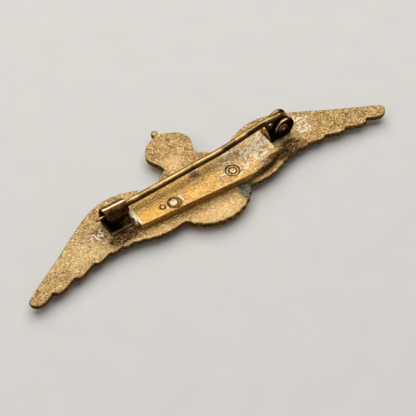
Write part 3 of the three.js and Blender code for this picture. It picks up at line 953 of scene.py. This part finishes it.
def make_bracket(material):
    """The joint's two ears and its base, bent from one strip, and the sloping wall that closes its side."""
    near = BRACKET_LOW[1] + EAR_T / 2
    far = BRACKET_HIGH[1] - EAR_T / 2
    centre_z = BRACKET_HIGH[2] - EAR_R
    floor = BACK + EAR_T / 2 - 0.1  # the base is sunk 0.1 into the badge
    bend = 0.3
    rise = [centre_z + EAR_R * math.sin(math.radians(a)) * 0.985 for a in range(0, 91, 6)]
    fall = np.linspace(centre_z, floor + bend, 9)[1:]
    spine = [(near, z) for z in reversed(rise)] + [(near, z) for z in fall]
    spine += arc((near + bend, floor + bend), bend, 180, 270, 5)[1:]
    spine += arc((far - bend, floor + bend), bend, 270, 360, 5)[:-1]
    spine += [(far, z) for z in fall[::-1]] + [(far, z) for z in rise]
    points, faces = skin(bent_sheet(spine, EAR_T, lambda z, share: ear_span(z)))
    x, _, z = points.T
    inset = np.min(np.abs(np.array([ear_span(level) for level in z]).T - x), axis=0)
    top = BRACKET_HIGH[2] - z
    front = points[:, 1] - BRACKET_LOW[1]
    # Painted highlight: a bright crescent along the upper rims of the ears on their left side, strongest on
    # the near ear's outer face.
    rim = ease(0.13, 0.04, np.minimum(inset, top)) * ease(centre_z - 0.1, centre_z + 0.4, z)
    rim *= ease(BRACKET_HIGH[0] - 0.5, BRACKET_HIGH[0] - 1.4, x)
    rim *= np.where(front < EAR_T, 0.6 * ease(0.3, 0.1, front), 0.3)

    wall_low, wall_high = BRACKET_LOW[0] - 0.02, BRACKET_LOW[0] + JOINT_WALL_T
    near, far = BRACKET_LOW[1] + 0.02, BRACKET_HIGH[1] - 0.02
    foot, crest = BACK - 0.05, BACK + JOINT_WALL_HIGH
    profile = [(near, foot), (far, foot), (far, crest), (STEM_Y, crest), (near, BACK + JOINT_WALL_LOW)]
    middle = np.mean(profile, axis=0)
    loops = []
    rows = ((wall_low, 0.93), (wall_low + 0.06, 1.0), (wall_high - 0.06, 1.0), (wall_high, 0.93))
    for level, shrink in rows:
        loops.append([(level, *(middle + (np.array(p) - middle) * shrink)) for p in profile])
    wall_points, wall_faces = skin(loops)
    faces += [tuple(i + len(points) for i in face) for face in wall_faces]
    masks = {"rub_and_highlight": np.concatenate([rim, np.full(len(wall_points), 0.75)])}
    points = np.concatenate([points, wall_points])
    make_piece("joint_bracket", points, faces, material, "badge", "hinge_bracket", masks, 50)


# ---- turned and drawn pieces ----

TAPER_LENGTH = 5.5  # of the stem's point


def make_rivet(material):
    """A shank with two hammered heads, along Y."""
    head = (RIVET_HIGH[2] - RIVET_LOW[2]) / 2
    shank = head - 0.12
    near, far = RIVET_LOW[1], RIVET_HIGH[1]
    dome = [(-0.02, 0.12), (0.0, 0.3), (0.05, 0.47), (0.11, head), (0.2, head - 0.03), (0.22, shank)]
    profile = [(near + y, radius) for y, radius in dome] + [(far - y, radius) for y, radius in reversed(dome)]
    around = 28
    loops = []
    for y, radius in profile:
        loop = []
        for j in range(around):
            a = 2 * math.pi * j / around
            beaten = radius * (1 + 0.05 * math.sin(3 * a + 0.6) * (radius > shank))
            loop.append((RIVET_X + beaten * math.cos(a), y, RIVET_Z - beaten * math.sin(a)))
        loops.append(loop)
    points, faces = skin(np.array(loops)[:, ::-1])
    away = np.hypot(points[:, 0] - RIVET_X, points[:, 2] - RIVET_Z)
    # A painted highlight spot at the middle of each head, and a worn rim round it.
    masks = {"rub_and_highlight": np.maximum(0.8 * ease(0.3, 0.1, away), 0.35 * ease(shank, head, away))}
    make_piece("joint_rivet", points, faces, material, "badge", "hinge_rivet", masks)


def stem_path():
    """The wire's middle line in the XZ plane, from its point to the end of its eye, its radius along it,
    and how many of its points come before the eye."""
    above_back = ((STEM_LOW[0], 1.75), (-9.5, 2.1), (-2.0, 2.3), (5.0, 2.4), (8.0, 2.9), (10.0, 3.15))
    knots = np.array([*[(x, BACK + z) for x, z in above_back], (RIVET_X, RIVET_Z + EYE_R)])
    slopes = np.gradient(knots[:, 1], knots[:, 0])
    slopes[-1] = 0
    tip_end = knots[0, 0] + TAPER_LENGTH
    x = np.concatenate([np.linspace(knots[0, 0], tip_end, 40), np.linspace(tip_end + 0.2, RIVET_X - 0.1, 90)])
    z = np.empty_like(x)
    for i in range(len(knots) - 1):
        (start, low), (end, high) = knots[i], knots[i + 1]
        inside = (x >= start) & (x <= end)
        wide = end - start
        z[inside] = hermite((x[inside] - start) / wide, low, slopes[i] * wide, high, slopes[i + 1] * wide)
    turn = np.radians(np.linspace(90, -196, 48))
    loop = np.c_[RIVET_X + EYE_R * np.cos(turn), RIVET_Z + EYE_R * np.sin(turn)]
    path = np.concatenate([np.c_[x, z], loop])
    taper = np.clip((path[:, 0] - STEM_LOW[0]) / TAPER_LENGTH, 0, 1)
    radius = WIRE_R * np.where(np.arange(len(path)) < len(x), 0.07 + 0.93 * taper**0.5, 1.0)
    return path, radius, len(x)


def make_stem(material):
    """The wire as rings of points along its path, and one more point at either end."""
    path, radius, shank = stem_path()
    ahead = unit(np.gradient(path, axis=0))
    around = 20
    turns = 2 * math.pi * np.arange(around) / around
    last = len(path) - 1
    rows = [(0, 0.4, 0.0), *[(i, 1.0, 0.0) for i in range(last + 1)], (last, 0.75, 0.05), (last, 0.4, 0.08)]
    loops = []
    for at, fill, push in rows:
        middle = path[at] + ahead[at] * push
        side = np.array((-ahead[at][1], ahead[at][0])) * radius[at] * fill
        wobble = 0.05 * math.sin(0.32 * path[at][0]) * (at < shank)
        wide = 0.97 * radius[at] * fill
        ring = [(*(middle + side * math.cos(a)), STEM_Y + wobble + wide * math.sin(a)) for a in turns]
        loops.append([(px, py, pz) for px, pz, py in ring])
    points, faces = skin(loops)
    x = points[:, 0]
    # Brown patches along the wire, painted darker on its lower front side so that only its top line stays
    # bright: partly real patches, partly painted shade.
    brown = spots(x, np.zeros_like(x), ((8.8, 0), 1.6, 1.0), ((4.9, 0), 1.2, 0.9), ((-9.6, 0), 0.8, 0.5))
    side = np.r_[np.tile(ease(1.0, 0.93, np.cos(turns)) * (np.sin(turns) < 0), len(rows)), 0, 0]
    brown = ease(0.25, 0.6, brown) * (0.3 + 0.65 * side)
    # Painted shade on the wire's underside and lower front side.
    under = ease(0.8, 0.5, np.cos(turns)) * (np.sin(turns) < 0) + ease(0.2, -0.2, np.cos(turns))
    under = np.r_[np.tile(np.clip(under, 0, 1), len(rows)), 0, 0]
    # Painted shade on the eye, which sits in the joint's shade between the ears.
    eye = np.r_[np.repeat([0.9 * (at > shank + 10) for at, _, _ in rows], around), 0.9, 0.9]
    # A painted highlight on the wire's cut end.
    cut_end = np.r_[np.zeros((len(rows) - 1) * around), np.ones(around), 0, 1]
    masks = {"tarnish_and_shade": np.maximum.reduce([brown, 0.92 * under, eye]) * (1 - cut_end), "rub_and_highlight": cut_end}
    make_piece("stem_wire", points, faces, material, "stem", "pin_stem", masks)


# ---- solder ----

SOLDER_SUNK = 0.1  # how deep a pool's underside lies inside the badge


def solder_heap(reach, height, at, seed, soft, cell):
    """A lumpy pool of solder over the badge's back: height(x, y) above it, inside an uneven oval outline.
    It thins out over a width of soft along its edge. Also returns each top point's x, y and edge distance."""
    turns = np.linspace(0, 2 * np.pi, 90, endpoint=False)
    uneven = 1 + 0.1 * grain(np.cos(turns) * 2 + 9, np.sin(turns) * 2 + 9, 0.9, seed)
    outline = np.array(at) + np.c_[reach[0] * uneven * np.cos(turns), reach[1] * uneven * np.sin(turns)]
    points, triangles, edge, border = net_inside(outline, cell, (0.04,))
    x, y = points.T
    swell = np.sqrt(ease(0, soft, edge))
    top = BACK + (height(x, y) + 0.05 * rough_grain(x, y, 0.5, seed + 5)) * swell - 0.02
    return *plate(points, top, BACK - SOLDER_SUNK, triangles, border), x, y, edge


def on_both_faces(masks):
    """The same masks for a plate's upper and lower points."""
    return {name: np.tile(values, 2) for name, values in masks.items()}


def make_catch_solder(material):
    """A cream bead along the bar's end, over a golden step that runs down to the catch's foot."""
    end = BAR_LOW[0]

    def height(x, y):
        bead = bell((x - end) / 0.3)
        return 0.45 + (BAR_HIGH[2] - BACK - 0.4) * ease(end - 0.5, end - 0.2, x) + 0.18 * bead

    middle = (end - 0.05, 0.45)
    vertices, faces, x, y, edge = solder_heap((0.5, 1.15), height, middle, 81, soft=0.2, cell=0.06)
    cream = ease(end - 0.3, end - 0.2, x + 0.14 * rough_grain(x, y, 0.5, 85))
    cream *= ease(0.02, 0.1, edge)
    masks = {"solder": 0.2 + 0.8 * cream, "tarnish_and_shade": 0.4 * (1 - cream), "warm": 0.5 * (1 - cream)}
    masks = on_both_faces(masks)
    make_piece("catch_solder_drop", vertices, faces, material, "badge", "catch_solder", masks)


def make_joint_solder(material):
    """A thin apron round the joint's foot that climbs its wall beside the bar."""

    def height(x, y):
        ramp = ease(BRACKET_LOW[0] + 0.35, BRACKET_LOW[0] - 0.1, x) * ease(0.2, 1.4, y)
        return 0.16 + 1.25 * ramp + 0.06 * grain(x, y, 0.8, 93)

    vertices, faces, x, y, edge = solder_heap((2.5, 2.2), height, (12.3, 1.45), 91, soft=1.1, cell=0.1)
    masks = badge_masks(x, y, edge)
    masks["rub_and_highlight"] = np.zeros_like(x)
    climb = ease(BRACKET_LOW[0] + 0.3, BRACKET_LOW[0], x) * ease(-0.5, 0.6, y)
    masks["warm"] = np.maximum(masks["warm"], climb)
    masks["tarnish_and_shade"] = masks["tarnish_and_shade"] * (1 - climb)
    masks = on_both_faces(masks)
    make_piece("joint_solder_apron", vertices, faces, material, "badge", "hinge_solder", masks)


# ---- the scene ----

make_camera()
make_studio()
make_floor()

make_badge(gold_material("aged_gold", (0.59, 0.385, 0.15), (0.22, 0.13, 0.045), (0.8, 0.51, 0.18)))
make_bar(gold_material("bar_gold", (1.0, 0.61, 0.19), (0.52, 0.28, 0.08), (1.0, 0.52, 0.09), rough=0.4))
# The catch, joint and rivet are given very dark browns: partly patina, partly painted shade.
make_catch(bronze_material("catch_bronze", (0.07, 0.034, 0.01), (0.02, 0.009, 0.003), (1.0, 0.76, 0.45)))
make_bracket(bronze_material("joint_bronze", (0.024, 0.012, 0.005), (0.009, 0.004, 0.002), (0.9, 0.54, 0.18)))
make_rivet(bronze_material("rivet_bronze", (0.065, 0.038, 0.016), (0.03, 0.017, 0.008), (0.9, 0.62, 0.28)))
make_stem(stem_material())
solder_gold = gold_material("solder_gold", (0.64, 0.44, 0.17), (0.3, 0.18, 0.06), (0.72, 0.46, 0.14))
make_catch_solder(solder_gold)
make_joint_solder(solder_gold)
